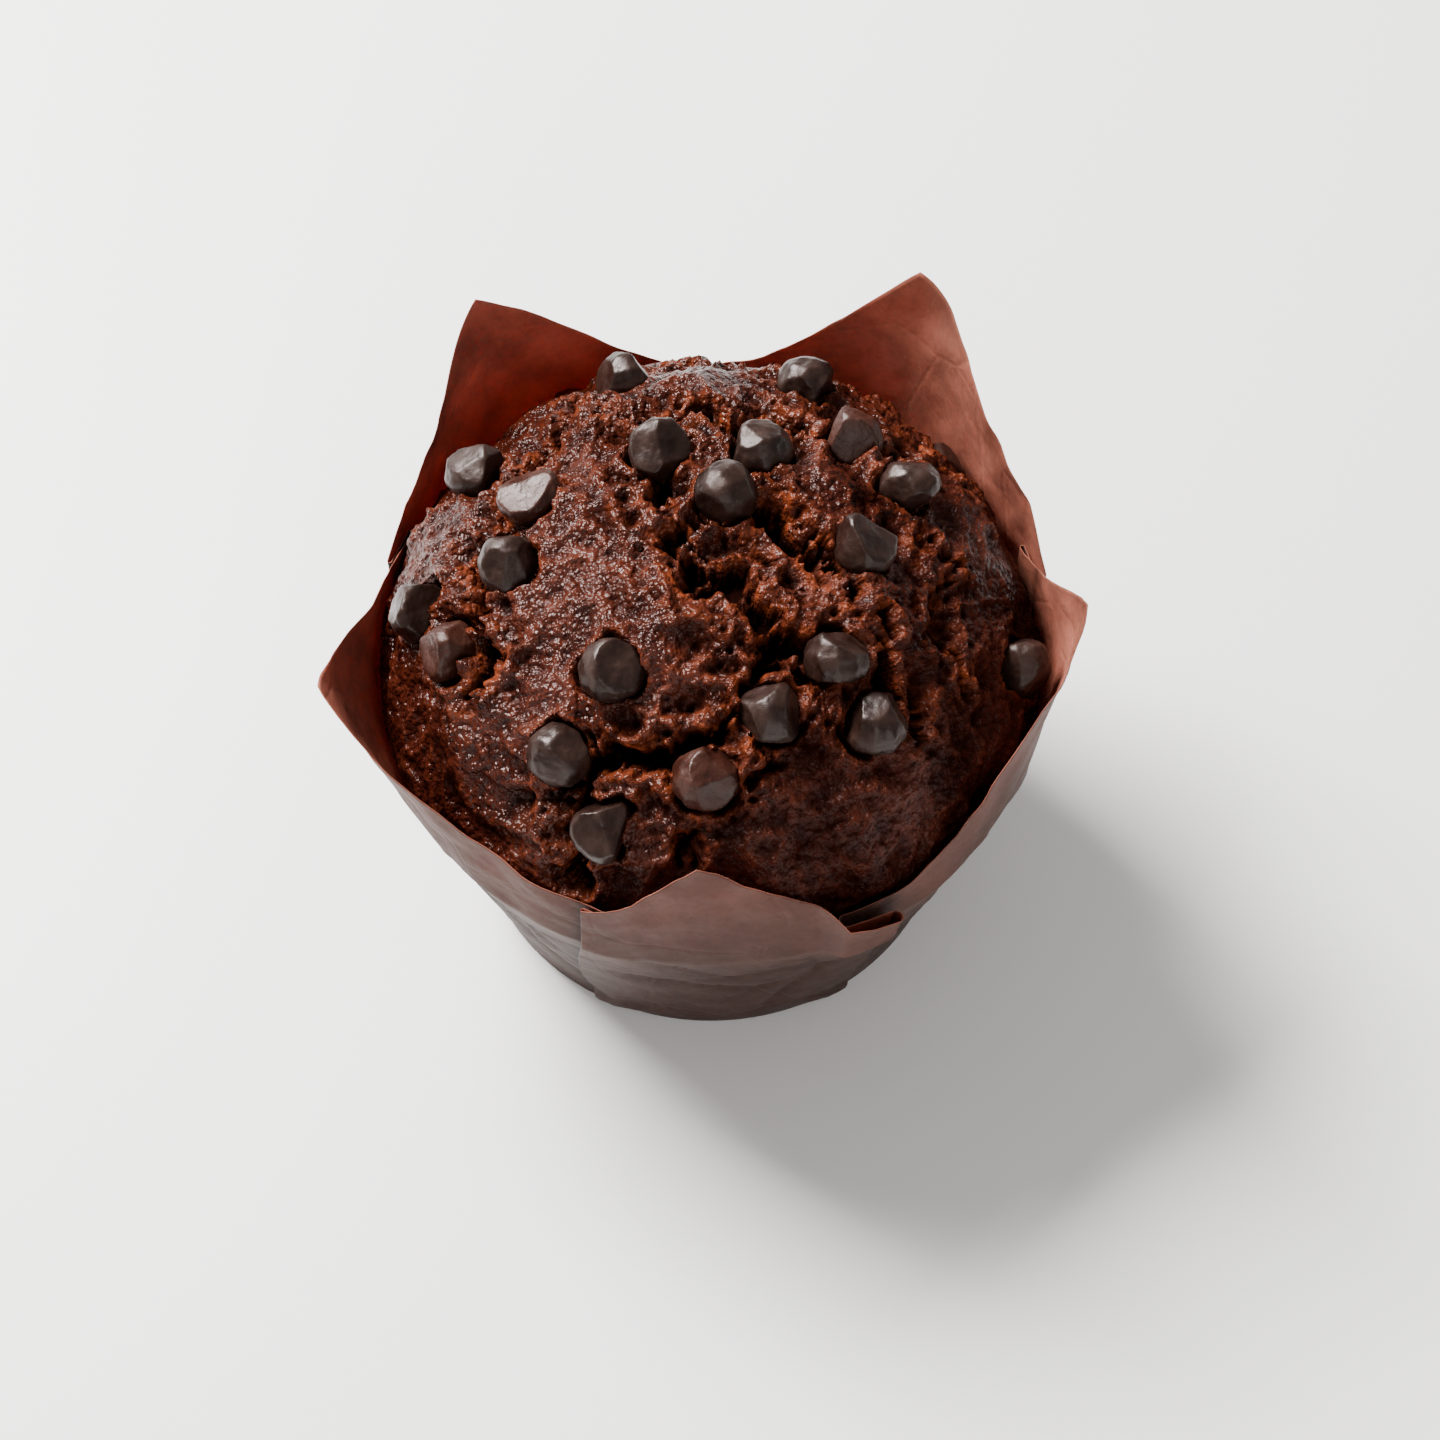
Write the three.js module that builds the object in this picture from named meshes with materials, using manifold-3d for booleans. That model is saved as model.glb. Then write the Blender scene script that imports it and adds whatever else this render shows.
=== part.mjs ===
// A large chocolate muffin in a folded paper tulip case.
// The cake stands in the case, and whole chocolate chips are baked into its domed top.
// Millimetres, +Z up. The origin is the middle of the case's base, on the surface that it stands on.

import * as THREE from 'three';
import { mergeVertices } from 'three/addons/utils/BufferGeometryUtils.js';
import Module from 'manifold-3d';

// ---------------------------------------------------------------- driving dimensions
const BASE_RADIUS = 32.5; // outside of the case where it stands
const SHOULDER_RADIUS = 43.6; // middle of the paper where the cup ends and the petals begin
const SHOULDER_HEIGHT = 38.5;
const DOME_RISE = 31.5; // crown of the cake above the shoulder
const PAPER = 0.3; // thickness of the case
const CAKE_GAP = 0.45; // between the paper and the cake

const PLEAT_WIDTH = 7; // length of the case's edge that one pleat takes up, at the shoulder
const PLEAT_DEPTH = 5.5; // how far the folded layers lie over each other at the shoulder
const PLEAT_START = 0.3; // the same overlap near the foot, up to where the folds have closed
const PLEAT_GROWTH = 2.5; // how soon the overlap widens above that; 1 is evenly
const LAYER_GAP = 0.4; // between two folded layers of the paper
const PLEAT_CLOSED = 0.15; // share of the shoulder's height at which the folds are closed
const LAYER_SPREAD = 0.45; // share of a petal over which it comes back in from the layer outside
const WALL_FLARE = 1.1; // 1 is a straight cone; more keeps the foot steep and opens the mouth
const LEAN_FOCUS = 1.7; // 1 spreads a petal's lean evenly; more keeps it closer to the tip
const NOTCH_SLOPE = -0.1; // lean of the paper above the shoulder where it hugs the cake at a notch

const CHIP_DIAMETER = 7.8;
const CHIP_HEIGHT = 6;
const CHIP_GAP = 0.3; // between a chip and the cake around it
const CHIP_WEB = 0.3; // least cake left between two chips
const CHIP_RAISE = 0.7; // a chip's middle above the crust
const CHIP_SUNK = -1.6; // the same for a chip that has sunk in
const CHIP_CLEAR = 0.3; // between a chip, whichever way it leans, and the case

// Pleats in order round the case: azimuth at the shoulder and how far the pleat has veered from
// it at the foot, both in degrees, and the height of the notch above the shoulder. `out` is true
// where the petal after the pleat lies outside the petal before it.
const PLEATS = [
  { azimuth: 15, veer: -8, notch: 7.5, out: true },
  { azimuth: 92, veer: 8, notch: 6.5, out: false },
  { azimuth: 161, veer: 8, notch: 7.5, out: false },
  { azimuth: 253, veer: -11, notch: 8.5, out: true },
  { azimuth: 296, veer: 7, notch: 5.5, out: false },
];

// The petal after each pleat: azimuth of its tip, the tip's height above the shoulder and how
// far the tip leans out from the shoulder. `hollow` is the power of the curve that its edge
// follows from the notch before it and to the notch after it: 1 is straight.
const PETALS = [
  { azimuth: 56, rise: 31.5, lean: 5, hollow: [0.65, 1.7] },
  { azimuth: 129, rise: 29.5, lean: 5, hollow: [1.25, 1.1] },
  { azimuth: 198, rise: 19.5, lean: 6.4, hollow: [1.8, 2] },
  { azimuth: 268, rise: 21.5, lean: -1.6, hollow: [1.3, 1.5] },
  { azimuth: 352, rise: 24, lean: 2.9, hollow: [1.8, 1.3] },
];

// Raised plates of crust: x and y seen from above, in hundredths of the cake's radius, with the
// radius and height of each plate in millimetres.
const CRUST_PLATES = [
  [2, 63, 13, 1.2], [-35, 5, 12, 0.9], [-14, -30, 12, 1.1], [-53, -30, 12, 0.9],
  [49, -28, 12, 0.8], [23, -84, 13, 1], [-79, 16, 11, 0.7], [72, 28, 12, 0.7],
  [-30, 88, 11, 0.8], [34, 88, 11, 0.8], [-30, 34, 9, 0.8], [36, 12, 9, 0.6],
];

// Chips: x and y from above, in hundredths of the cake's radius. `lean` turns the tip away from
// straight out of the crust (90 lies on its side, 180 shows the flat base), and `heading` is
// the way it leans: 0 to the left along the crust as seen from outside, 90 up to the crown.
// A `deep` chip has sunk into the crust, so only its tip stands out.
const CHIPS = [
  { x: -26, y: 69, lean: 82, heading: 10 },
  { x: 28, y: 67, lean: 78, heading: 0 },
  { x: -15, y: 28, lean: 125, heading: 300 },
  { x: 14, y: 29, lean: 25, heading: 60 },
  { x: 4, y: 11, lean: 62, heading: 60 },
  { x: 42, y: 40, lean: 85, heading: 200 },
  { x: 57, y: 24, lean: 75, heading: 40 },
  { x: 43, y: -3, lean: 165, heading: 90 },
  { x: -68, y: 37, lean: 100, heading: 60 },
  { x: -51, y: 16, lean: 150, heading: 20 },
  { x: -57, y: -4, lean: 20, heading: 180 },
  { x: -84, y: -8, lean: 95, heading: 250 },
  { x: -74, y: -24, lean: 150, heading: 90 },
  { x: -27, y: -42, lean: 22, heading: 120 },
  { x: 36, y: -39, lean: 62, heading: 60 },
  { x: 17, y: -54, lean: 55, heading: 60 },
  { x: 45, y: -51, lean: 45, heading: 75 },
  { x: -42, y: -61, lean: 15, heading: 180 },
  { x: -1, y: -70, lean: 35, heading: 90 },
  { x: -30, y: -79, lean: 82, heading: 180 },
  { x: 91, y: -18, lean: 25, heading: 90 },
  { x: 75, y: 62, lean: 15, heading: 45, deep: true },
  { x: 39, y: 87, lean: 10, heading: 140, deep: true },
  { x: -5, y: 95, lean: 15, heading: 90, deep: true },
  { x: -43, y: 85, lean: 20, heading: 320, deep: true },
  { x: -77, y: 59, lean: 10, heading: 200, deep: true },
];

const TURN = 2 * Math.PI;
const radians = THREE.MathUtils.degToRad;
const lerp = THREE.MathUtils.lerp;

// ---------------------------------------------------------------- shared geometry
// Turns a list of rings, each with the same number of points, into one closed body. The first
// ring and the last are closed by a fan to the point `start` and the point `end`.
function ringsBody(start, rings, end) {
  const count = rings[0].length;
  const points = [start, ...rings.flat(), end];
  const last = points.length - 1;
  const index = [];
  for (let i = 0; i < count; i++) {
    const next = (i + 1) % count;
    index.push(0, 1 + next, 1 + i);
    for (let r = 0; r < rings.length - 1; r++) {
      const low = 1 + r * count;
      const high = low + count;
      index.push(low + i, low + next, high + next, low + i, high + next, high + i);
    }
    const top = 1 + (rings.length - 1) * count;
    index.push(top + i, top + next, last);
  }
  const geometry = new THREE.BufferGeometry();
  geometry.setAttribute('position', new THREE.Float32BufferAttribute(points.flatMap((p) => p.toArray()), 3));
  geometry.setIndex(index);
  geometry.computeVertexNormals();
  return geometry;
}

const polar = (radius, angle, height) =>
  new THREE.Vector3(radius * Math.cos(angle), radius * Math.sin(angle), height);

// ---------------------------------------------------------------- the paper case
// How far the paper stands from the axis on the cup's plain wall.
const wallFoot = BASE_RADIUS - PAPER / 2;
const foldRadius = (PAPER + LAYER_GAP) / 2;
const wallRadius = (z) => lerp(wallFoot, SHOULDER_RADIUS, (z / SHOULDER_HEIGHT) ** WALL_FLARE);

// Above the shoulder the paper hugs the cake at each notch and leans out to each petal's tip.
function petalSlope(angle) {
  const degrees = THREE.MathUtils.radToDeg(angle);
  const past = (azimuth, start) => THREE.MathUtils.euclideanModulo(azimuth - start, 360);
  const petal = PLEATS.findIndex(({ azimuth }, k) => {
    return past(degrees, azimuth) <= past(PLEATS[(k + 1) % PLEATS.length].azimuth, azimuth);
  });
  const start = PLEATS[petal].azimuth;
  const width = past(PLEATS[(petal + 1) % PLEATS.length].azimuth, start);
  const tip = past(PETALS[petal].azimuth, start);
  const spot = past(degrees, start);
  const nearness = spot < tip ? spot / tip : (width - spot) / (width - tip);
  const weight = ((1 - Math.cos(Math.PI * nearness)) / 2) ** LEAN_FOCUS;
  return lerp(NOTCH_SLOPE, PETALS[petal].lean / PETALS[petal].rise, weight);
}

function caseRadius(angle, z) {
  if (z <= SHOULDER_HEIGHT) return wallRadius(z);
  return SHOULDER_RADIUS + petalSlope(angle) * (z - SHOULDER_HEIGHT);
}

// The cross-section of one pleat at a height: along the edge and outward from it. The paper
// runs on, turns back over itself and turns forward again one double layer further out. Near
// the foot the same length of paper is only a shallow wave, which closes as it rises.
const ARC_STEPS = 4;

function pleatSection(z) {
  const closed = Math.min(1, Math.max(z / (SHOULDER_HEIGHT * PLEAT_CLOSED), 1e-3));
  const turn = Math.PI * closed;
  const radius = foldRadius / closed;
  const above = (z / SHOULDER_HEIGHT - PLEAT_CLOSED) / (1 - PLEAT_CLOSED);
  const overlap = lerp(PLEAT_DEPTH, PLEAT_START, Math.min(1, 1 - above) ** PLEAT_GROWTH);
  const width = PLEAT_WIDTH * wallRadius(z) / SHOULDER_RADIUS;
  const advance = 2 * radius * Math.sin(turn) + overlap * Math.cos(turn);
  const lead = (width - advance) / 2;
  const points = [[0, 0]];
  for (let i = 0; i <= ARC_STEPS; i++) {
    const t = turn * i / ARC_STEPS;
    points.push([lead + radius * Math.sin(t), radius * (1 - Math.cos(t))]);
  }
  const [s, h] = points.at(-1);
  const backS = s + overlap * Math.cos(turn);
  const backH = h + overlap * Math.sin(turn);
  for (let i = 0; i <= ARC_STEPS; i++) {
    const t = turn * (1 - i / ARC_STEPS);
    points.push([
      backS + radius * (Math.sin(turn) - Math.sin(t)),
      backH + radius * (Math.cos(t) - Math.cos(turn)),
    ]);
  }
  const step = points.at(-1)[1];
  points.push([width, step]);
  return { points, step, width };
}

// One entry for each column of the case's grid, which says where it is at any height. A pleat
// has a column for each point of its section, and a petal has evenly spaced columns with one
// at its tip.
const PETAL_STEPS = 5;
const PLEAT_POINTS = 2 * ARC_STEPS + 4;
const FIRST_FOLD = 1 + ARC_STEPS / 2;
const SECOND_FOLD = PLEAT_POINTS - 2 - ARC_STEPS / 2;

// A petal that starts as the outer layer of a pleat comes back in against the cake.
const layerLeft = (share) => Math.max(0, 1 - share / LAYER_SPREAD) ** 2;

// How far a veer given in degrees turns the paper at a height.
const veered = (veer, z) => radians(veer) * Math.max(0, 1 - z / SHOULDER_HEIGHT);

function caseColumns() {
  const columns = [];
  PLEATS.forEach((pleat, k) => {
    const next = PLEATS[(k + 1) % PLEATS.length];
    const middle = radians(pleat.azimuth);
    for (let i = 0; i < PLEAT_POINTS; i++) {
      const place = (z) => {
        const { points, step, width } = pleatSection(z);
        const [s, h] = pleat.out ? points[i] : points[PLEAT_POINTS - 1 - i];
        const along = pleat.out ? s : width - s;
        const angle = middle + veered(pleat.veer, z) + (along - width / 2) / wallRadius(z);
        return { angle, out: Math.min(h, step + h) };
      };
      columns.push({ place, pleat: k, fold: i });
    }
    const half = PLEAT_WIDTH / SHOULDER_RADIUS / 2;
    const start = middle + half;
    const wrap = radians(next.azimuth) < middle ? TURN : 0;
    const end = radians(next.azimuth) + wrap - half;
    let tip = radians(PETALS[k].azimuth);
    while (tip < start) tip += TURN;
    const levels = [pleat.out ? 1 : 0, next.out ? 0 : 1];
    for (let i = 1; i < 2 * PETAL_STEPS; i++) {
      const angle = i <= PETAL_STEPS
        ? lerp(start, tip, i / PETAL_STEPS)
        : lerp(tip, end, i / PETAL_STEPS - 1);
      const share = (angle - start) / (end - start);
      const level = levels[0] * layerLeft(share) + levels[1] * layerLeft(1 - share);
      const veer = lerp(pleat.veer, next.veer, share);
      const place = (z) => ({ angle: angle + veered(veer, z), out: level * pleatSection(z).step });
      columns.push({ place, petal: k, tip: i === PETAL_STEPS });
    }
  });
  return columns;
}

// The height of the case's edge at each column. It is level between a pleat's two folds and
// rises from each fold to the petal's tip.
function rimHeights(columns) {
  const count = columns.length;
  const plan = columns.map(({ place }) => {
    const { angle, out } = place(SHOULDER_HEIGHT);
    return polar(SHOULDER_RADIUS + out, angle, 0);
  });
  const heights = new Array(count);
  PLEATS.forEach((pleat, k) => {
    const from = columns.findIndex((c) => c.pleat === k && c.fold === SECOND_FOLD);
    const tip = columns.findIndex((c) => c.petal === k && c.tip);
    const nextPleat = (k + 1) % PLEATS.length;
    const to = columns.findIndex((c) => c.pleat === nextPleat && c.fold === FIRST_FOLD);
    const peak = PETALS[k].rise;
    const side = (begin, direction, notch, power) => {
      const steps = (direction * (tip - begin) + count) % count;
      const lengths = [0];
      for (let i = 0; i < steps; i++) {
        const a = (begin + direction * i + count) % count;
        const b = (a + direction + count) % count;
        lengths.push(lengths[i] + plan[a].distanceTo(plan[b]));
      }
      lengths.forEach((length, i) => {
        const share = (length / lengths[steps]) ** power;
        heights[(begin + direction * i + count) % count] = SHOULDER_HEIGHT + lerp(notch, peak, share);
      });
    };
    side(from, 1, pleat.notch, PETALS[k].hollow[0]);
    side(to, -1, PLEATS[nextPleat].notch, PETALS[k].hollow[1]);
  });
  columns.forEach((column, i) => {
    if (column.fold > FIRST_FOLD && column.fold < SECOND_FOLD) {
      heights[i] = SHOULDER_HEIGHT + PLEATS[column.pleat].notch;
    }
  });
  return heights;
}

const CUP_ROWS = [PLEAT_CLOSED / 3, PLEAT_CLOSED * 2 / 3, PLEAT_CLOSED, 0.3, 0.5, 0.75, 1];
const PETAL_ROWS = [0.25, 0.5, 0.75, 1];
const FLOOR_RING = 0.5; // share of the base's radius at which its flat disc has a ring

function paperCase() {
  const columns = caseColumns();
  const rims = rimHeights(columns);
  const count = columns.length;
  const point = (i, z) => {
    const { angle, out } = columns[i].place(Math.min(z, SHOULDER_HEIGHT));
    return polar(caseRadius(angle, z) + out, angle, z);
  };
  const rows = [0, ...CUP_ROWS].map((share) => columns.map((_, i) => point(i, share * SHOULDER_HEIGHT)));
  for (const share of PETAL_ROWS) {
    rows.push(columns.map((_, i) => point(i, lerp(SHOULDER_HEIGHT, rims[i], share))));
  }
  const facing = (j, i) => {
    const along = rows[j][(i + 1) % count].clone().sub(rows[j][(i + count - 1) % count]);
    const up = rows[Math.min(j + 1, rows.length - 1)][i].clone().sub(rows[j - 1][i]);
    return along.cross(up).normalize();
  };
  const face = (side) => rows.slice(1).map((row, j) =>
    row.map((p, i) => p.clone().addScaledVector(facing(j + 1, i), side * PAPER / 2)));
  const floorRing = (radius, height) => rows[0].map((p) => polar(radius, Math.atan2(p.y, p.x), height));
  const under = [BASE_RADIUS * FLOOR_RING, BASE_RADIUS].map((r) => floorRing(r, 0));
  const over = [BASE_RADIUS - PAPER, BASE_RADIUS * FLOOR_RING].map((r) => floorRing(r, PAPER));
  return ringsBody(
    new THREE.Vector3(0, 0, 0),
    [...under, ...face(1), ...face(-1).reverse(), ...over],
    new THREE.Vector3(0, 0, PAPER),
  );
}

// ---------------------------------------------------------------- the cake's crust
const CAKE_RADIUS = SHOULDER_RADIUS - PAPER / 2 - CAKE_GAP;
const CAKE_FLOOR = PAPER + CAKE_GAP;
const CRUST_FADE = [0.22, 0.6]; // shares of the dome's height over which its plates rise

// The dome is half of an ellipsoid. `up` is a direction on the unit sphere that it stretches.
function domeSpot(up) {
  const foot = new THREE.Vector3(up.x * CAKE_RADIUS, up.y * CAKE_RADIUS, SHOULDER_HEIGHT + up.z * DOME_RISE);
  const normal = new THREE.Vector3(up.x / CAKE_RADIUS, up.y / CAKE_RADIUS, up.z / DOME_RISE).normalize();
  return { foot, normal };
}

function planDirection(x, y) {
  const up = new THREE.Vector3(x / 100, y / 100, 0);
  up.z = Math.sqrt(Math.max(0, 1 - up.lengthSq()));
  return up.normalize();
}

function crustHeight(up) {
  const fade = THREE.MathUtils.smoothstep(up.z, ...CRUST_FADE);
  let height = 0;
  for (const [x, y, radius, rise] of CRUST_PLATES) {
    const away = planDirection(x, y).distanceTo(up) * CAKE_RADIUS / radius;
    if (away < 1) height += rise * (1 - away * away) ** 2;
  }
  return height * fade;
}

function crustSpot(up) {
  const { foot, normal } = domeSpot(up);
  return { spot: foot.addScaledVector(normal, crustHeight(up)), normal };
}

const CAKE_SIDES = 60;
const WALL_ROWS = 5;
const DOME_ROWS = 18;

function plainCake() {
  const ring = (at) => Array.from({ length: CAKE_SIDES }, (_, i) => at(TURN * i / CAKE_SIDES));
  const rings = [];
  for (let j = 0; j < WALL_ROWS; j++) {
    const z = lerp(CAKE_FLOOR, SHOULDER_HEIGHT, j / WALL_ROWS);
    rings.push(ring((angle) => polar(wallRadius(z) - PAPER / 2 - CAKE_GAP, angle, z)));
  }
  for (let j = 0; j < DOME_ROWS; j++) {
    const tilt = Math.PI / 2 * (1 - j / DOME_ROWS);
    rings.push(ring((angle) => crustSpot(polar(Math.sin(tilt), angle, Math.cos(tilt))).spot));
  }
  return ringsBody(new THREE.Vector3(0, 0, CAKE_FLOOR), rings, crustSpot(new THREE.Vector3(0, 0, 1)).spot);
}

// ---------------------------------------------------------------- the chips
const CHIP_SIDES = 10;

// A drop of chocolate: a flat base with a round edge, and a side that narrows to a blunt tip.
// Its middle is at the origin and its tip points along +Y. `grow` makes it larger all round.
function chipProfile(grow) {
  const radius = CHIP_DIAMETER / 2 + grow;
  const low = -CHIP_HEIGHT * 0.42 - grow;
  const height = CHIP_HEIGHT + 2 * grow;
  const outline = [[0, 0], [0.84, 0], [1, 0.2], [0.96, 0.46], [0.74, 0.74], [0.38, 0.94], [0, 1]];
  return outline.map(([r, h]) => new THREE.Vector2(r * radius, low + h * height));
}

const chipReach = Math.max(...chipProfile(0).map((p) => p.length()));

function chipMiddle(chip, up) {
  const { spot, normal } = crustSpot(up);
  return spot.addScaledVector(normal, chip.deep ? CHIP_SUNK : CHIP_RAISE);
}

// The least distance from a point to the faces of a geometry.
function distanceTo(geometry, point) {
  const { position } = geometry.attributes;
  const face = new THREE.Triangle();
  const near = new THREE.Vector3();
  let least = Infinity;
  for (let t = 0; t < geometry.index.count; t += 3) {
    const corners = [0, 1, 2].map((c) => geometry.index.getX(t + c));
    face.setFromAttributeAndIndices(position, ...corners);
    least = Math.min(least, face.closestPointToPoint(point, near).distanceTo(point));
  }
  return least;
}

// Moves chips apart along the crust until every pair has room, and up the dome until each has
// room inside the case, whichever way it leans.
const SPACING_ROUNDS = 40;
const RIM_ZONE = 0.6; // share of the dome's height below which the case can be near

function spacedChips(paper) {
  const room = 2 * chipReach + 2 * CHIP_GAP + CHIP_WEB;
  const ups = CHIPS.map(({ x, y }) => planDirection(x, y));
  for (let round = 0; round < SPACING_ROUNDS; round++) {
    ups.forEach((up, i) => {
      for (const other of ups.slice(0, i)) {
        const short = room - crustSpot(other).spot.distanceTo(crustSpot(up).spot);
        if (short > 0) {
          const push = other.clone().sub(up).setLength(short / 2 / CAKE_RADIUS);
          up.sub(push).normalize();
          other.add(push).normalize();
        }
      }
      const tight = up.z < RIM_ZONE
        ? chipReach + CHIP_CLEAR - distanceTo(paper, chipMiddle(CHIPS[i], up))
        : 0;
      if (tight > 0) {
        const crownward = new THREE.Vector3(0, 0, 1).addScaledVector(up, -up.z).normalize();
        up.addScaledVector(crownward, tight / CAKE_RADIUS).normalize();
      }
    });
  }
  return ups;
}

function chipMatrix(chip, up) {
  const { normal } = crustSpot(up);
  const left = new THREE.Vector3(-up.y, up.x, 0).normalize();
  const crownward = normal.clone().cross(left);
  const lean = radians(chip.lean);
  const heading = radians(chip.heading);
  const axis = normal.clone().multiplyScalar(Math.cos(lean))
    .addScaledVector(left, Math.sin(lean) * Math.cos(heading))
    .addScaledVector(crownward, Math.sin(lean) * Math.sin(heading));
  const turn = new THREE.Quaternion().setFromUnitVectors(new THREE.Vector3(0, 1, 0), axis);
  return new THREE.Matrix4().compose(chipMiddle(chip, up), turn, new THREE.Vector3(1, 1, 1));
}

const chipGeometry = (grow) => new THREE.LatheGeometry(chipProfile(grow), CHIP_SIDES);

// ---------------------------------------------------------------- sockets in the cake
const wasm = await Module();
wasm.setup();

function toSolid(geometry) {
  const plain = geometry.clone();
  plain.deleteAttribute('normal');
  plain.deleteAttribute('uv');
  const merged = mergeVertices(plain, 1e-4);
  const vertProperties = new Float32Array(merged.attributes.position.array);
  const triVerts = new Uint32Array(merged.index.array);
  return new wasm.Manifold(new wasm.Mesh({ numProp: 3, vertProperties, triVerts }));
}

function toGeometry(solid) {
  const { vertProperties, triVerts } = solid.getMesh();
  const geometry = new THREE.BufferGeometry();
  geometry.setAttribute('position', new THREE.BufferAttribute(new Float32Array(vertProperties), 3));
  geometry.setIndex([...triVerts]);
  geometry.computeVertexNormals();
  return geometry;
}

function socketedCake(matrices) {
  let cake = toSolid(plainCake());
  for (const matrix of matrices) {
    cake = cake.subtract(toSolid(chipGeometry(CHIP_GAP).applyMatrix4(matrix)));
  }
  return toGeometry(cake);
}

// ---------------------------------------------------------------- materials and assembly
const paperMaterial = new THREE.MeshStandardMaterial({ color: 0x5e4640, roughness: 0.62, metalness: 0 });
const cakeMaterial = new THREE.MeshStandardMaterial({ color: 0x43211a, roughness: 0.55, metalness: 0 });
const chipMaterial = new THREE.MeshStandardMaterial({ color: 0x241a18, roughness: 0.42, metalness: 0 });

function named(name, geometry, material) {
  const mesh = new THREE.Mesh(geometry, material);
  mesh.name = name;
  return mesh;
}

const muffin = new THREE.Group();
const caseGeometry = paperCase();
const chipPlaces = spacedChips(caseGeometry).map((up, i) => chipMatrix(CHIPS[i], up));

muffin.add(named('tulip_case', caseGeometry, paperMaterial));
muffin.add(named('cake', socketedCake(chipPlaces), cakeMaterial));
chipPlaces.forEach((place, i) => {
  const chip = named(`chocolate_chip_${String(i + 1).padStart(2, '0')}`, chipGeometry(0), chipMaterial);
  chip.applyMatrix4(place);
  muffin.add(chip);
});

export default muffin;
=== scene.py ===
import math
from functools import lru_cache

import bpy
import numpy as np
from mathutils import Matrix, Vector, noise
from mathutils.bvhtree import BVHTree


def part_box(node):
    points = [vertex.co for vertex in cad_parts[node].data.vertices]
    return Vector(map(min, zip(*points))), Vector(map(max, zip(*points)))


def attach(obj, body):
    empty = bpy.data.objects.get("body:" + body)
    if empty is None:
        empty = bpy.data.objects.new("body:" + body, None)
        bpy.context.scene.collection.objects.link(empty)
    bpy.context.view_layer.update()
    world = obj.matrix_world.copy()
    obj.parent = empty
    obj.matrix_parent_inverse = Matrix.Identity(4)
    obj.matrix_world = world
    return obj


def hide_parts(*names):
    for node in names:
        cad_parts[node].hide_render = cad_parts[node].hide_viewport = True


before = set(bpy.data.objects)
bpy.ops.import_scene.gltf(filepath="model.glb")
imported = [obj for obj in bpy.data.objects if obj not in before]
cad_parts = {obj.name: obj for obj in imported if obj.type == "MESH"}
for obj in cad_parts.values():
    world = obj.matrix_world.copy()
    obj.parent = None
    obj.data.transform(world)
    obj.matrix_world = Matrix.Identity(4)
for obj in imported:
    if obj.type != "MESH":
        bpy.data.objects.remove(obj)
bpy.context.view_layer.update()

# ------------------------------------------------------------------ where the muffin stands
# A pale bench under a soft window to the back left, with weak fill from low down in front.
# The camera looks down on the muffin from the front, about as one looks at a plate of food.
BENCH_SIZE = 4.0
BENCH_COLOUR = (0.93, 0.915, 0.91, 1)
BENCH_ROUGHNESS = 0.45
CAMERA_SPOT = Vector((0.0013, -0.2142, 0.3681))
CAMERA_AIM = Vector((0.0013, 0.0158, 0.0))
CAMERA_LENS = 74.98
LIGHT_AIM = Vector((0, 0, 0.04))
DAYLIGHT = (1.0, 0.985, 0.965)
SKY_COLOUR = (1.0, 0.985, 0.97, 1)
SKY_STRENGTH = 0.45

bpy.ops.mesh.primitive_plane_add(size=BENCH_SIZE)
bench = bpy.context.object
bench.name = "bench_top"
bench_finish = bpy.data.materials.new("bench_lacquer")
bench_finish.use_nodes = True
bench_shader = bench_finish.node_tree.nodes["Principled BSDF"]
bench_shader.inputs["Base Color"].default_value = BENCH_COLOUR
bench_shader.inputs["Roughness"].default_value = BENCH_ROUGHNESS
bench.data.materials.append(bench_finish)

camera = bpy.data.objects.new("camera", bpy.data.cameras.new("camera"))
camera.data.lens = CAMERA_LENS
camera.data.sensor_width = 36
camera.data.clip_start = 0.01
camera.location = CAMERA_SPOT
camera.rotation_euler = (CAMERA_AIM - CAMERA_SPOT).to_track_quat("-Z", "Y").to_euler()
bpy.context.collection.objects.link(camera)
bpy.context.scene.camera = camera


def window(name, spot, size, power):
    """A soft square light that faces the muffin."""
    light = bpy.data.lights.new(name, "AREA")
    light.shape = "SQUARE"
    light.size = size
    light.energy = power
    light.color = DAYLIGHT
    holder = bpy.data.objects.new(name, light)
    holder.location = spot
    holder.rotation_euler = (LIGHT_AIM - Vector(spot)).to_track_quat("-Z", "Y").to_euler()
    bpy.context.collection.objects.link(holder)


window("window_light", (-0.46, 0.42, 0.68), 0.42, 39.0)
window("front_fill", (0.15, -0.85, 0.32), 0.7, 4.0)

sky = bpy.data.worlds.new("room_light")
sky.use_nodes = True
sky_shader = sky.node_tree.nodes["Background"]
sky_shader.inputs["Color"].default_value = SKY_COLOUR
sky_shader.inputs["Strength"].default_value = SKY_STRENGTH
bpy.context.scene.world = sky

# ------------------------------------------------------------------ the tulip case
# One sheet of brown greaseproof paper, pressed over a round former: five Z-folded pleats take
# up its fullness and its free edge stands up in five petals. The outside is satin grey-brown,
# the inside is warmer where the light comes through, and pressing has left fine creases.
MM = 0.001
FOOT_RADIUS = 32.5
SHOULDER_RADIUS = 43.6
SHOULDER_HEIGHT = 38.5
WALL_FLARE = 1.1
NOTCH_SLOPE = -0.1
LEAN_FOCUS = 1.7
PAPER = 0.1
PLEAT_WIDTH = 7.0
PLEAT_DEPTH = 5.5
PLEAT_START = 0.3
PLEAT_GROWTH = 2.5
PLEAT_CLOSED = 0.15
LAYER_SPREAD = 0.45
FOLD_RADIUS = 0.2
ARC_STEPS = 8
LEAD_STEPS = 4
PETAL_STEPS = 44
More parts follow.
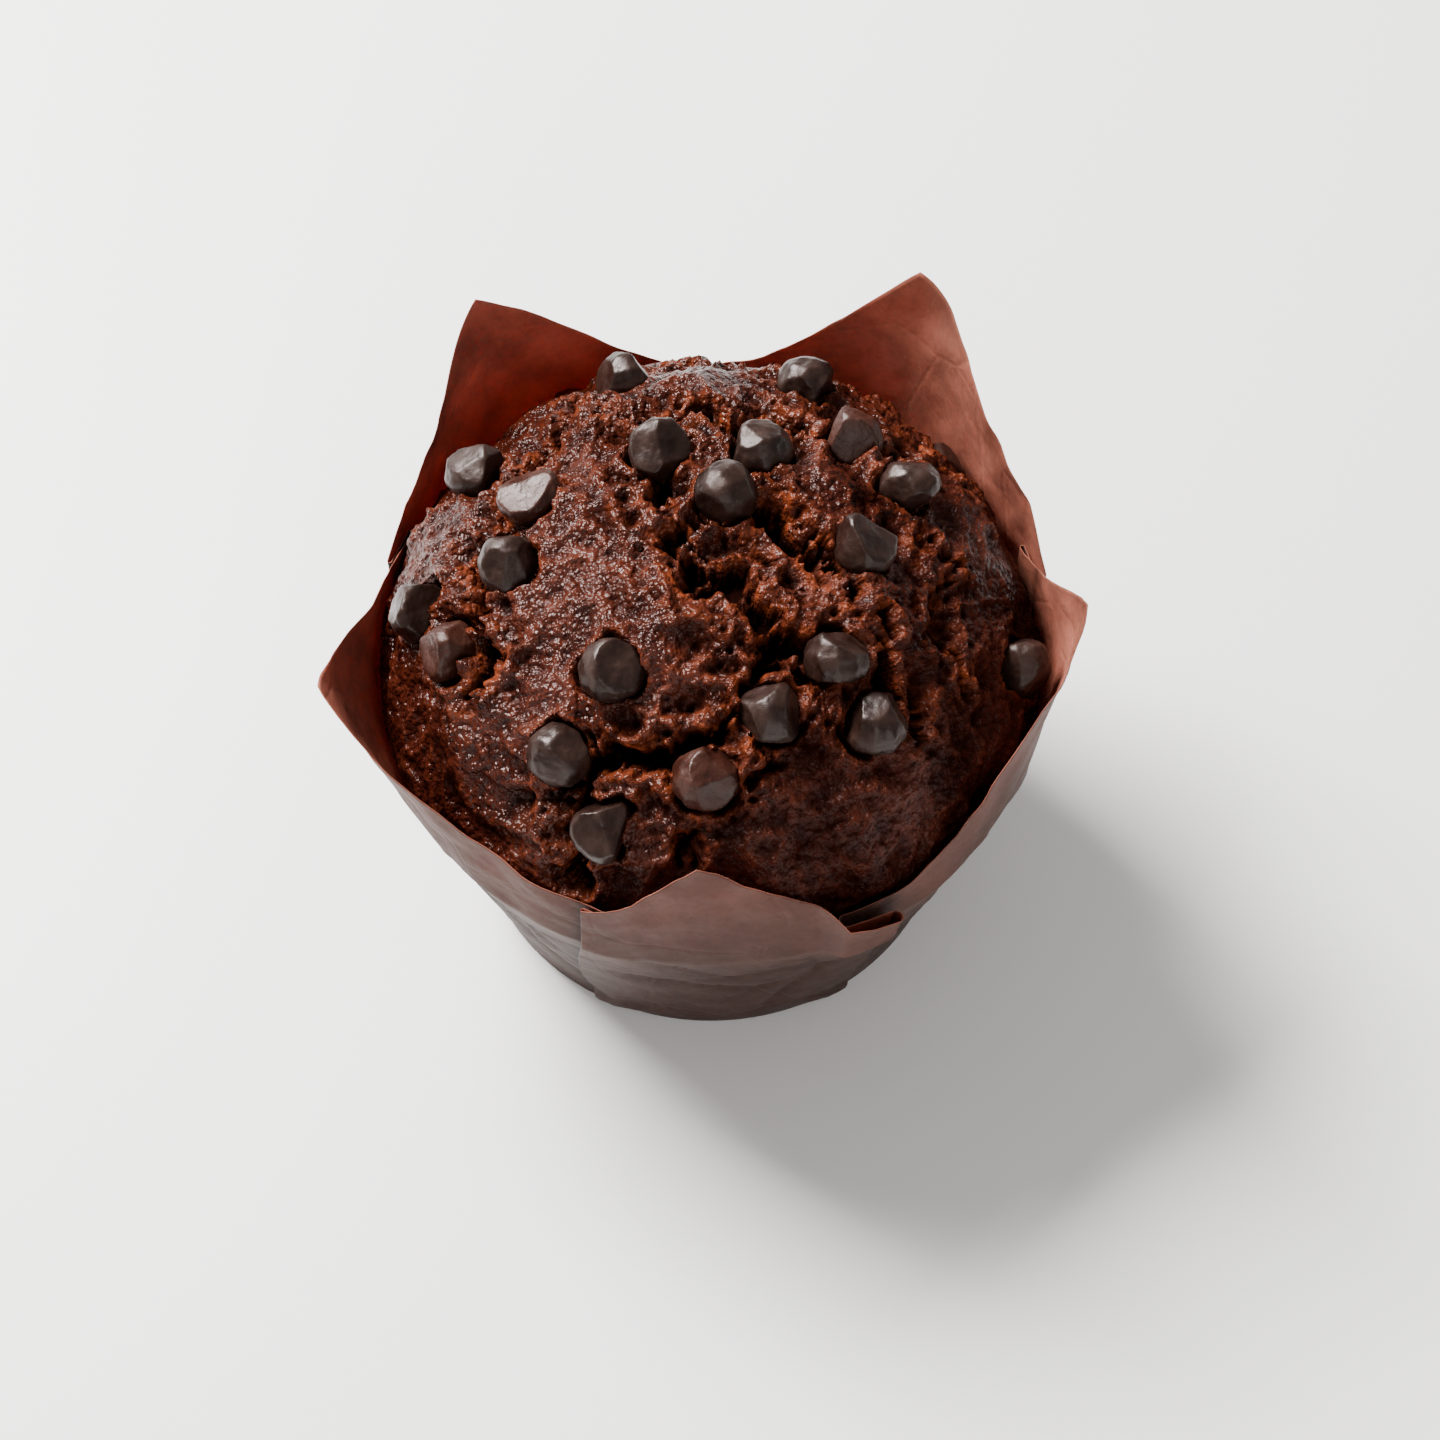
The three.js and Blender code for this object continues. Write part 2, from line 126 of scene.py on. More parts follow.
CUP_STEPS = 40
RISE_STEPS = 30
SPRING_SPREAD = 0.12
SPRING_START = 0.55  # share of the shoulder's height at which the folds begin to spring open
SPRING_RUN = 0.62
ROW_CROWDING = 1.15  # more than 1 sets the rows closer together near the foot
SHAKE_FOOT = 6  # height over which the foot's own circle gives way to the paper's unevenness
INWARD_LOW = 1.2  # how far the paper may dent inward low down, and how much less at the shoulder
INWARD_LOSS = 0.85

# azimuth at the shoulder and how far it has veered at the foot, height of the notch above the
# shoulder, whether the next petal lies outside, and how far the fold springs open at the edge
PLEATS = [
    (15, -8, 7.5, True, 0.1),
    (92, 8, 6.5, False, 0.1),
    (161, 8, 7.5, False, 0.05),
    (253, -11, 8.5, True, 0.05),
    (296, 7, 5.5, False, 0.75),
]
# azimuth of the tip, its height above the shoulder, its lean, and how hollow each edge is
PETALS = [
    (56, 31.5, 5.0, 0.65, 1.7),
    (129, 29.5, 5.0, 1.25, 1.1),
    (198, 19.5, 6.4, 1.8, 2.0),
    (268, 21.5, -1.6, 1.3, 1.5),
    (352, 24.0, 2.9, 1.8, 1.3),
]


def smooth(low, high, value):
    """Runs from 0 at `low` to 1 at `high`, level at both ends."""
    t = np.clip((value - low) / (high - low), 0, 1)
    return t * t * (3 - 2 * t)


def wall_radius(z):
    return FOOT_RADIUS + (SHOULDER_RADIUS - FOOT_RADIUS) * (z / SHOULDER_HEIGHT) ** WALL_FLARE


def petal_slope(azimuth):
    """The lean of the paper above the shoulder, from upright at a notch to each petal's own."""
    for k, (start, *_) in enumerate(PLEATS):
        width = (PLEATS[(k + 1) % len(PLEATS)][0] - start) % 360
        spot = (azimuth - start) % 360
        if spot <= width:
            tip_azimuth, rise, lean, *_ = PETALS[k]
            tip = (tip_azimuth - start) % 360
            nearness = spot / tip if spot < tip else (width - spot) / (width - tip)
            weight = ((1 - math.cos(math.pi * nearness)) / 2) ** LEAN_FOCUS
            return NOTCH_SLOPE + (lean / rise - NOTCH_SLOPE) * weight
    return NOTCH_SLOPE


@lru_cache(maxsize=None)
def pleat_section(z, spring):
    """Points across a pleat: along the edge, and outward over the petal before it."""
    low = min(z, SHOULDER_HEIGHT)
    closed = min(1.0, max(low / (SHOULDER_HEIGHT * PLEAT_CLOSED), 1e-3))
    turn = math.pi * closed
    sprung = (z - SPRING_START * SHOULDER_HEIGHT) / (SPRING_RUN * SHOULDER_HEIGHT)
    opening = spring * max(0.0, sprung) ** 2
    radius = (FOLD_RADIUS + opening) / closed
    above = (low / SHOULDER_HEIGHT - PLEAT_CLOSED) / (1 - PLEAT_CLOSED)
    overlap = PLEAT_DEPTH + (PLEAT_START - PLEAT_DEPTH) * min(1.0, 1 - above) ** PLEAT_GROWTH
    width = PLEAT_WIDTH * wall_radius(low) / SHOULDER_RADIUS
    lead = (width - 2 * radius * math.sin(turn) - overlap * math.cos(turn)) / 2
    points = [(lead * i / LEAD_STEPS, 0.0) for i in range(LEAD_STEPS)]
    for i in range(ARC_STEPS + 1):
        t = turn * i / ARC_STEPS
        points.append((lead + radius * math.sin(t), radius * (1 - math.cos(t))))
    s, h = points[-1]
    back_s = s + overlap * math.cos(turn)
    back_h = h + overlap * math.sin(turn)
    points.append(((s + back_s) / 2, (h + back_h) / 2))
    for i in range(ARC_STEPS + 1):
        t = turn * (1 - i / ARC_STEPS)
        points.append((
            back_s + radius * (math.sin(turn) - math.sin(t)),
            back_h + radius * (math.cos(t) - math.cos(turn)),
        ))
    end_s, end_h = points[-1]
    points += [(end_s + lead * i / LEAD_STEPS, end_h) for i in range(1, LEAD_STEPS + 1)]
    return points, end_h, width


SECTION_POINTS = len(pleat_section(10, 0.0)[0])
FIRST_FOLD = LEAD_STEPS + ARC_STEPS // 2
SECOND_FOLD = SECTION_POINTS - 1 - FIRST_FOLD


def layer_left(share, spread):
    """How much of a layer's height is left at a share of the way along a petal."""
    return max(0.0, 1 - share / spread) ** 2


def case_columns():
    """What each upright line of the paper needs to be placed at any height."""
    columns = []
    for k, (azimuth, veer, _, out, spring) in enumerate(PLEATS):
        columns += [("pleat", k, i) for i in range(SECTION_POINTS)]
        next_azimuth, next_veer, _, next_out, next_spring = PLEATS[(k + 1) % len(PLEATS)]
        half = math.degrees(PLEAT_WIDTH / SHOULDER_RADIUS) / 2
        start = azimuth + half
        end = start + (next_azimuth - half - start) % 360
        tip = start + (PETALS[k][0] - start) % 360
        rising = np.linspace(start, tip, PETAL_STEPS + 1)
        falling = np.linspace(tip, end, PETAL_STEPS + 1)
        stops = np.concatenate([rising, falling[1:]])
        for i, angle in enumerate(stops[1:-1]):
            share = (angle - start) / (end - start)
            if share < 0.5:
                near, is_out, loose = share, out, spring
            else:
                near, is_out, loose = 1 - share, not next_out, next_spring
            level = layer_left(near, LAYER_SPREAD) * is_out
            sprung = layer_left(near, SPRING_SPREAD) * is_out
            turn = veer + (next_veer - veer) * share
            columns.append(("petal", k, angle, turn, level, sprung, loose, i == PETAL_STEPS - 1))
    return columns


columns = case_columns()


def veered(veer, z):
    return veer * max(0.0, 1 - z / SHOULDER_HEIGHT)


def plan_spot(column, z):
    """Azimuth in degrees, and how far the paper stands outside the plain wall."""
    if column[0] == "petal":
        _, _, angle, veer, level, sprung, loose, _ = column
        step = pleat_section(z, 0.0)[1]
        return angle + veered(veer, z), level * step + sprung * (pleat_section(z, loose)[1] - step)
    _, k, i = column
    azimuth, veer, _, out, spring = PLEATS[k]
    azimuth += veered(veer, z)
    points, step, width = pleat_section(z, spring)
    s, h = points[i if out else SECTION_POINTS - 1 - i]
    along = s if out else width - s
    return azimuth + math.degrees((along - width / 2) / wall_radius(min(z, SHOULDER_HEIGHT))), h


def rim_heights():
    """The free edge: level across a pleat's folds, and rising from them to each tip."""
    plan = []
    for column in columns:
        angle, out = plan_spot(column, SHOULDER_HEIGHT)
        reach, angle = SHOULDER_RADIUS + out, math.radians(angle)
        plan.append(Vector((reach * math.cos(angle), reach * math.sin(angle))))
    count = len(columns)
    heights = [0.0] * count
    for k, (_, _, notch, _, _) in enumerate(PLEATS):
        after = (k + 1) % len(PLEATS)
        begin = columns.index(("pleat", k, SECOND_FOLD))
        finish = columns.index(("pleat", after, FIRST_FOLD))
        tip = next(i for i, c in enumerate(columns) if c[0] == "petal" and c[1] == k and c[-1])
        _, rise, _, power_before, power_after = PETALS[k]
        sides = ((begin, 1, notch, power_before), (finish, -1, PLEATS[after][2], power_after))
        for first, step, low, power in sides:
            run, lengths, i = [first], [0.0], first
            while i != tip:
                j = (i + step) % count
                lengths.append(lengths[-1] + (plan[j] - plan[i]).length)
                run.append(j)
                i = j
            for j, length in zip(run, lengths):
                heights[j] = SHOULDER_HEIGHT + low + (rise - low) * (length / lengths[-1]) ** power
        for i in range(FIRST_FOLD, SECOND_FOLD + 1):
            here = columns.index(("pleat", k, i))
            if not heights[here]:
                heights[here] = SHOULDER_HEIGHT + notch
    return heights


rims = rim_heights()

# creases left by the former: azimuth and height at each end, and depth
CREASES = [
    ((206, 37), (246, 6), 0.55), ((214, 33), (243, 22), 0.45), ((210, 40), (238, 30), 0.3),
    ((222, 40), (236, 10), 0.4), ((228, 24), (247, 33), 0.4), ((201, 30), (219, 4), 0.5),
    ((251, 27), (283, 17), 0.5), ((256, 40), (276, 26), 0.3), ((262, 24), (290, 30), 0.45),
    ((272, 12), (294, 26), 0.4), ((281, 5), (296, 30), 0.5), ((286, 38), (294, 16), 0.4),
    ((302, 10), (330, 38), 0.5), ((310, 4), (326, 24), 0.4), ((318, 44), (346, 30), 0.35),
    ((20, 30), (48, 8), 0.5), ((38, 34), (70, 20), 0.35), ((66, 6), (86, 30), 0.5),
    ((98, 10), (126, 30), 0.5), ((118, 36), (150, 18), 0.4), ((134, 6), (156, 30), 0.5),
    ((168, 8), (190, 34), 0.5), ((176, 36), (196, 16), 0.35), ((340, 8), (8, 30), 0.5),
]
CREASE_WIDTH = 1.1
CREASE_DEPTH = 1.7
# how far the painted shade beside each pleat's outer fold reaches, in millimetres
TUCK_SHADE_WIDTH = 1.6
# where the free edge curls outward: azimuth, half width in degrees, and reach in millimetres
CURLS = [(168, 5, 0.4), (8, 6, 0.5), (302, 6, 0.6), (258, 6, 0.4), (198, 12, 0.5), (350, 14, 0.8)]


def turned(azimuth, middle):
    """The signed angle from one azimuth to another, in degrees."""
    return (azimuth - middle + 180) % 360 - 180


def crease_push(azimuth, z):
    """How far the creases draw the paper in, over the whole sheet."""
    push = np.zeros(azimuth.shape)
    along = math.radians(FOOT_RADIUS + SHOULDER_RADIUS) / 2
    for (a0, z0), (a1, z1), depth in CREASES:
        reach = np.array([turned(a1, a0) * along, z1 - z0])
        x, y = turned(azimuth, a0) * along, z - z0
        share = np.clip((x * reach[0] + y * reach[1]) / (reach @ reach), 0, 1)
        away = np.hypot(x - share * reach[0], y - share * reach[1])
        fading = np.sin(math.pi * (0.06 + 0.88 * share))
        push -= CREASE_DEPTH * depth * fading * np.exp(-away / CREASE_WIDTH)
    return push


def paper_rows():
    """The paper's middle surface, row by row from the foot to the free edge."""
    heights = []
    for share in np.linspace(0, 1, CUP_STEPS + 1):
        heights.append([SHOULDER_HEIGHT * share ** ROW_CROWDING] * len(columns))
    for share in np.linspace(0, 1, RISE_STEPS + 1)[1:]:
        heights.append([SHOULDER_HEIGHT + (rim - SHOULDER_HEIGHT) * share for rim in rims])
    z = np.array(heights)
    places = np.array([[plan_spot(c, h) for c, h in zip(columns, row)] for row in heights])
    azimuth, out = places[:, :, 0] % 360, places[:, :, 1]
    slope = np.array([petal_slope(a) for a in azimuth[-1]])
    above = np.maximum(z - SHOULDER_HEIGHT, 0)
    reach = wall_radius(np.minimum(z, SHOULDER_HEIGHT)) - PAPER / 2 + slope * above + out
    angle = np.radians(azimuth)
    here = np.stack([np.cos(angle) * 3, np.sin(angle) * 3, z / 14], 2).reshape(-1, 3)

    def waves(scale, shift):
        return np.array([noise.noise(Vector(p)) for p in here * scale + shift]).reshape(z.shape)

    shake = waves(1.1, 4.0) * (0.2 + 0.05 * above) + waves(3.1, 9.0) * (0.25 + 0.012 * above)
    shake += waves(7.0, 2.0) * 0.09 + waves(13.0, 6.0) * 0.05
    curl = sum(
        amount * np.exp(-((turned(azimuth, middle) / half) ** 2)) for middle, half, amount in CURLS
    ) * np.clip(above / (z[-1] - SHOULDER_HEIGHT), 0, 1) ** 3
    room = INWARD_LOW - INWARD_LOSS * smooth(31, 36, z)
    dented = np.maximum(-room, shake + crease_push(azimuth, z))
    reach += np.minimum(1, z / SHAKE_FOOT) * dented + curl
    return np.stack([reach * np.cos(angle), reach * np.sin(angle), z], 2)


def ring_mesh(name, rings, start, end, turned_from):
    """A closed body from rings of equal length, with a fan of triangles at each end.

    From one ring on, the diagonals run the other way, so that the paper's two faces match.
    """
    count = len(rings[0])
    spots = np.concatenate([[start], np.concatenate(rings), [end]]) * MM
    turn = np.arange(count)
    after = (turn + 1) % count
    faces = [(0, 1 + b, 1 + a) for a, b in zip(turn, after)]
    for r in range(len(rings) - 1):
        low, high = 1 + r * count, 1 + (r + 1) * count
        for a, b in zip(turn, after):
            if r < turned_from:
                faces += [(low + a, low + b, high + b), (low + a, high + b, high + a)]
            else:
                faces += [(low + a, low + b, high + a), (low + b, high + b, high + a)]
    top = 1 + (len(rings) - 1) * count
    faces += [(top + a, top + b, len(spots) - 1) for a, b in zip(turn, after)]
    mesh = bpy.data.meshes.new(name)
    mesh.from_pydata([tuple(p) for p in spots], [], [tuple(int(i) for i in f) for f in faces])
    mesh.shade_smooth()
    piece = bpy.data.objects.new(name, mesh)
    bpy.context.collection.objects.link(piece)
    return piece


def grid_normals(rows):
    along = np.roll(rows, -1, 1) - np.roll(rows, 1, 1)
    up = np.gradient(rows, axis=0)
    across = np.cross(along, up)
    return across / np.linalg.norm(across, axis=2, keepdims=True)


def paint(piece, label, values):
    """Stores one value at each corner of a piece for its material to read."""
    layer = piece.data.attributes.new(label, "FLOAT", "POINT")
    layer.data.foreach_set("value", values)


def fold_reach(z):
    """How far a pleat's outer fold stands from the pleat's middle."""
    points, _, width = pleat_section(round(z, 2), 0.0)
    return width / 2 - points[SECOND_FOLD][0]


def tall_radius(z):
    """Millimetres of the wall's edge for each degree round it."""
    return np.radians(wall_radius(np.clip(z, 0, SHOULDER_HEIGHT)))


DISC_SHARES = (0.3, 0.6, 0.85, 1.0)  # of the foot's radius, for the rings of its flat disc


def make_case():
    """The closed sheet, from the middle of its underside round to the middle of its floor."""
    rows = paper_rows()
    across = grid_normals(rows) * PAPER / 2
    angles = np.arctan2(rows[0][:, 1], rows[0][:, 0])

    def disc(radius, z):
        return np.stack([radius * np.cos(angles), radius * np.sin(angles), np.full(len(angles), z)], 1)

    under = [disc(FOOT_RADIUS * share, 0.0) for share in DISC_SHARES]
    over = [disc((FOOT_RADIUS - PAPER) * share, PAPER) for share in DISC_SHARES[::-1]]
    outside = list((rows + across)[1:])
    inside = list((rows - across)[1:][::-1])
    edge_ring = len(under) + len(outside)
    rings = under + outside + inside + over
    piece = ring_mesh("paper_tulip_case", rings, (0, 0, 0), (0, 0, PAPER), edge_ring)
    first_inside = len(columns) * (2 * edge_ring - 1)
    for face in piece.data.polygons:
        face.material_index = 1 if face.index >= first_inside else 0
    spots = [v.co for v in piece.data.vertices]
    tall = np.array([spot.z for spot in spots]) / MM
    around = np.degrees(np.arctan2([spot.y for spot in spots], [spot.x for spot in spots]))
    # Painted shade on the paper beside each pleat's outer fold, where the fold's edge stands off it.
    tuck_shade = np.zeros(len(tall))
    for azimuth, veer, _, out, _ in PLEATS:
        side = 1 if out else -1
        middle = azimuth + veer * np.maximum(0, 1 - tall / SHOULDER_HEIGHT)
        half = np.array([fold_reach(z) for z in np.clip(tall, 0, SHOULDER_HEIGHT)])
        beyond = -turned(around, middle) * side * tall_radius(tall) - half
        shaded = np.where(beyond > 0, np.exp(-beyond / TUCK_SHADE_WIDTH), 0)
        tuck_shade = np.maximum(tuck_shade, shaded * smooth(1, 7, tall))
    # Painted light: the paper is lighter where it stands free of the cake and light comes through it;
    # low down, where the cake lies behind it, it keeps the darker painted shade.
    paint(piece, "free", smooth(-11, 13, tall - SHOULDER_HEIGHT + 3 * np.sin(np.radians(around * 5))))
    paint(piece, "tuck_shade", tuck_shade)
    return piece


def texture(tree, kind, scale, detail=3.0):
    """A noise or cell pattern laid over the piece's own coordinates."""
    place = tree.nodes.get("place") or tree.nodes.new("ShaderNodeTexCoord")
    place.name = "place"
    node = tree.nodes.new(kind)
    node.inputs["Scale"].default_value = scale
    node.inputs["Detail"].default_value = detail
    tree.links.new(place.outputs["Object"], node.inputs["Vector"])
    return node


def ramp(tree, source, stops):
    """Colours along a value; each stop is a position and a linear colour."""
    node = tree.nodes.new("ShaderNodeValToRGB")
    for element, (position, colour) in zip(node.color_ramp.elements, (stops[0], stops[-1])):
        element.position = position
        element.color = (*colour, 1)
    for position, colour in stops[1:-1]:
        node.color_ramp.elements.new(position).color = (*colour, 1)
    tree.links.new(source, node.inputs["Fac"])
    return node.outputs["Color"]


def mix(tree, a, b, factor, blend="MIX"):
    """Blends two colours by a number or by a value of the tree."""
    node = tree.nodes.new("ShaderNodeMix")
    node.data_type = "RGBA"
    node.blend_type = blend
    tree.links.new(a, node.inputs["A"])
    tree.links.new(b, node.inputs["B"])
    if isinstance(factor, float):
        node.inputs["Factor"].default_value = factor
    else:
        tree.links.new(factor, node.inputs["Factor"])
    return node.outputs["Result"]


def sums(tree, *parts):
    """Adds values, each given with its weight."""
    total = None
    for source, weight in parts:
        scaled = tree.nodes.new("ShaderNodeMath")
        scaled.operation = "MULTIPLY_ADD"
        tree.links.new(source, scaled.inputs[0])
        scaled.inputs[1].default_value = weight
        scaled.inputs[2].default_value = 0.0
        if total is not None:
            tree.links.new(total, scaled.inputs[2])
        total = scaled.outputs[0]
    return total


def painted(tree, label):
    """Reads what paint() stored under a label."""
    node = tree.nodes.new("ShaderNodeAttribute")
    node.attribute_name = label
    return node.outputs["Fac"]


def emboss(tree, height, strength, distance):
    """Fine relief; the distance is in metres."""
    node = tree.nodes.new("ShaderNodeBump")
    node.inputs["Strength"].default_value = strength
    node.inputs["Distance"].default_value = distance
    tree.links.new(height, node.inputs["Height"])
    tree.links.new(node.outputs["Normal"], tree.nodes["Principled BSDF"].inputs["Normal"])


WHITE, BLACK = (1.0, 1.0, 1.0), (0.0, 0.0, 0.0)


def greaseproof(name, shaded_on_cake, lit_standing_free, cloud_depth, roughness):
    """Greaseproof paper with fibres and fine creases, painted shade where the cake lies behind it,
    painted light where it stands free, and painted shade by the pleats' folds.
    """
    finish = bpy.data.materials.new(name)
    finish.use_nodes = True
    tree = finish.node_tree
    shader = tree.nodes["Principled BSDF"]
    clouds = texture(tree, "ShaderNodeTexNoise", 110, 6).outputs["Fac"]
    fibres = texture(tree, "ShaderNodeTexNoise", 1100, 4).outputs["Fac"]
    cracks = texture(tree, "ShaderNodeTexVoronoi", 70, 1)
    cracks.feature = "DISTANCE_TO_EDGE"

    def clouded(colour):
        low, high = ([c * depth for c in colour] for depth in (1 - cloud_depth, 1 + cloud_depth))
        return ramp(tree, clouds, [(0.3, low), (0.7, high)])

    # painted shade where the cake lies behind the paper, and painted light coming through it where it
    # stands free
    behind = clouded(shaded_on_cake)
    clear = clouded(lit_standing_free)
    tone = mix(tree, behind, clear, painted(tree, "free"))
    # painted shade beside the pleats' folds, multiplied into the colour
    shade = ramp(tree, painted(tree, "tuck_shade"), [(0.0, WHITE), (1.0, (0.25, 0.23, 0.22))])
    tone = mix(tree, tone, shade, 1.0, "MULTIPLY")
    grain = ramp(tree, fibres, [(0.35, (0.8, 0.79, 0.78)), (0.6, WHITE)])
    tree.links.new(mix(tree, tone, grain, 0.6, "MULTIPLY"), shader.inputs["Base Color"])
    line = ramp(tree, cracks.outputs["Distance"], [(0.0, BLACK), (0.035, WHITE)])
    emboss(tree, sums(tree, (clouds, 1.2), (fibres, 0.35), (line, 0.35)), 0.5, 0.3 * MM)
    shader.inputs["Roughness"].default_value = roughness
    shader.inputs["Specular IOR Level"].default_value = 0.12
    shader.inputs["Subsurface Weight"].default_value = 0.3
    shader.inputs["Subsurface Radius"].default_value = (1.0, 0.5, 0.36)
    shader.inputs["Subsurface Scale"].default_value = 0.4 * MM
    return finish


tulip = make_case()
# The inside is much brighter and warmer than the outside: painted light coming through the paper.
tulip.data.materials.append(
    greaseproof("greaseproof_outside", (0.033, 0.0158, 0.0119), (0.089, 0.039, 0.0292), 0.2, 0.55))
tulip.data.materials.append(
    greaseproof("greaseproof_inside", (0.235, 0.076, 0.047), (0.215, 0.073, 0.049), 0.4, 0.5))
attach(tulip, "root")
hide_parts("tulip_case")

# ------------------------------------------------------------------ the cake
# Moist dark chocolate batter that rose over the shoulder of the case as it baked. The crust is
# thin, shiny and pebbled. It split as the middle rose, so raised plates lie between fissures of
# open, sticky crumb, and each chip sits in its own socket.
cake_low, cake_high = (np.array(corner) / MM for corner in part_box("cake"))
CAKE_RADIUS = (cake_high[0] - cake_low[0]) / 2
CAKE_FLOOR = cake_low[2]
DOME_RISE = cake_high[2] - SHOULDER_HEIGHT
CRUST_CELLS = 300
PAPER_HOLD = 0.6
HELD_HEIGHT = 14
WALL_SHRINK = 0.9

# x and y from above in hundredths of the cake's radius, then radius and height in millimetres
CRUST_PLATES = [
    (2, 63, 13, 1.2), (-35, 5, 12, 0.9), (-14, -30, 12, 1.1), (-53, -30, 12, 0.9),
    (49, -28, 12, 0.8), (23, -84, 13, 1.0), (-79, 16, 11, 0.7), (72, 28, 12, 0.7),
    (-30, 88, 11, 0.8), (34, 88, 11, 0.8), (-30, 34, 9, 0.8), (36, 12, 9, 0.6),
]
# fissures: points across the dome in the same hundredths, then width and depth in millimetres
FISSURES = [
    ([(-16, 19), (-12, 7), (-7, -7), (0, -16), (7, -14), (14, -23), (19, -33), (14, -42), (9, -51),
      (2, -60)], 3.2, 3.0),
    ([(2, -60), (-7, -63), (-16, -65), (-28, -65), (-37, -70), (-40, -81), (-37, -88)], 2.4, 2.4),
    ([(-37, 58), (-51, 40), (-60, 28), (-60, 16), (-67, 7), (-67, -5), (-67, -14), (-63, -28),
      (-65, -37)], 2.0, 2.0),
    ([(-30, 49), (-19, 44), (-9, 44), (-2, 49), (5, 40), (19, 47), (30, 40), (44, 40),
      (53, 35)], 2.4, 2.2),
    ([(63, 7), (70, 0), (65, -16), (67, -26), (72, -33)], 1.5, 1.6),
    ([(14, 9), (21, 2), (28, -5), (35, -12), (40, -19)], 2.4, 2.2),
    ([(-5, -88), (-2, -79), (5, -74), (14, -65), (9, -51)], 1.5, 1.6),
    ([(19, -33), (28, -37), (26, -49)], 2.4, 2.4),
    ([(35, -12), (44, -19), (50, -38), (58, -52)], 1.2, 1.2),
    ([(-37, 88), (-24, 80), (-8, 84), (6, 77), (22, 82), (38, 76), (52, 80)], 1.6, 1.4),
    ([(-86, 30), (-78, 34), (-70, 44), (-72, 56)], 1.2, 1.2),
    ([(60, 52), (66, 42), (78, 38), (84, 24)], 1.2, 1.2),
]


def disc_directions(cells):
    """An even grid of directions over the dome, from the crown at its middle to its edge."""
    line = np.linspace(-1, 1, cells + 1)
    a, b = np.meshgrid(line, line)
    wide = np.abs(a) > np.abs(b)
    radius = np.where(wide, a, b)
    with np.errstate(divide="ignore", invalid="ignore"):
        angle = np.where(wide, math.pi / 4 * b / a, math.pi / 2 - math.pi / 4 * a / b)
    angle = np.nan_to_num(angle)
    tilt = np.abs(radius) * math.pi / 2
    angle = angle + np.where(radius < 0, math.pi, 0)
    return np.stack([np.sin(tilt) * np.cos(angle), np.sin(tilt) * np.sin(angle), np.cos(tilt)], 2)


def over_dome(x, y):
    """The direction that stands over a point given in hundredths of the radius."""
    x, y = x / 100, y / 100
    return np.array([x, y, math.sqrt(max(0.0, 1 - x * x - y * y))])


def field(spots, scale, shift):
    """Values of a smooth noise at many points given in millimetres."""
    return np.array([noise.noise(Vector(p)) for p in spots * scale + shift])


up = disc_directions(CRUST_CELLS).reshape(-1, 3)
stretch = np.array([CAKE_RADIUS, CAKE_RADIUS, DOME_RISE])
dome = up * stretch + np.array([0, 0, SHOULDER_HEIGHT])
dome_out = up / stretch
dome_out /= np.linalg.norm(dome_out, axis=1, keepdims=True)

plates = np.zeros(len(up))
for x, y, radius, height in CRUST_PLATES:
    away = np.linalg.norm(up - over_dome(x, y), axis=1) * CAKE_RADIUS / radius
    plates += height * np.clip(1 - away ** 2, 0, 1) ** 2
plates *= smooth(0.22, 0.6, up[:, 2])

# how far the fissures stray from their routes: scale, shift and reach in millimetres
WANDERS = [(0.16, 11.0, 2.4), (0.55, 7.0, 1.3), (1.5, 4.0, 0.5)]
wander = np.zeros(dome.shape)
for scale, shift, reach in WANDERS:
    wander += np.stack([field(dome, scale, shift * k) for k in (1, 2, 3)], 1) * reach
strayed = dome + wander
openness = smooth(-0.45, 0.35, field(dome, 0.11, 21.0))
torn = np.zeros(len(up))
rugged = np.zeros(len(up))
fissure_cut = np.zeros(len(up))
lip = np.zeros(len(up))
for route, full_width, full_depth in FISSURES:
    width = full_width * (0.65 + 0.95 * openness)
    depth = full_depth * (0.9 + 1.0 * openness)
    points = np.array([over_dome(x, y) * stretch + (0, 0, SHOULDER_HEIGHT) for x, y in route])
    away = np.full(len(up), 1e9)
    for a, b in zip(points, points[1:]):
        share = np.clip(((strayed - a) @ (b - a)) / ((b - a) @ (b - a)), 0, 1)
        away = np.minimum(away, np.linalg.norm(strayed - (a + share[:, None] * (b - a)), axis=1))
    inside = 1 - smooth(width * 0.25, width * 0.65, away)
    torn = np.maximum(torn, 1 - smooth(width * 0.55, width * 1.2, away))
    rugged = np.maximum(rugged, np.exp(-((away / (full_width * 2.2)) ** 2)))
    fissure_cut = np.maximum(fissure_cut, depth * inside)
    lip = np.maximum(lip, 0.5 * np.exp(-(((away - width * 1.2) / 0.8) ** 2)))


def cells(scale, shift):
    """Distances to the nearest cell centre, and on to the second nearest."""
    pairs = np.array([noise.voronoi(Vector(p))[0][:2] for p in dome * scale + shift])
    return pairs[:, 0], pairs[:, 1] - pairs[:, 0]


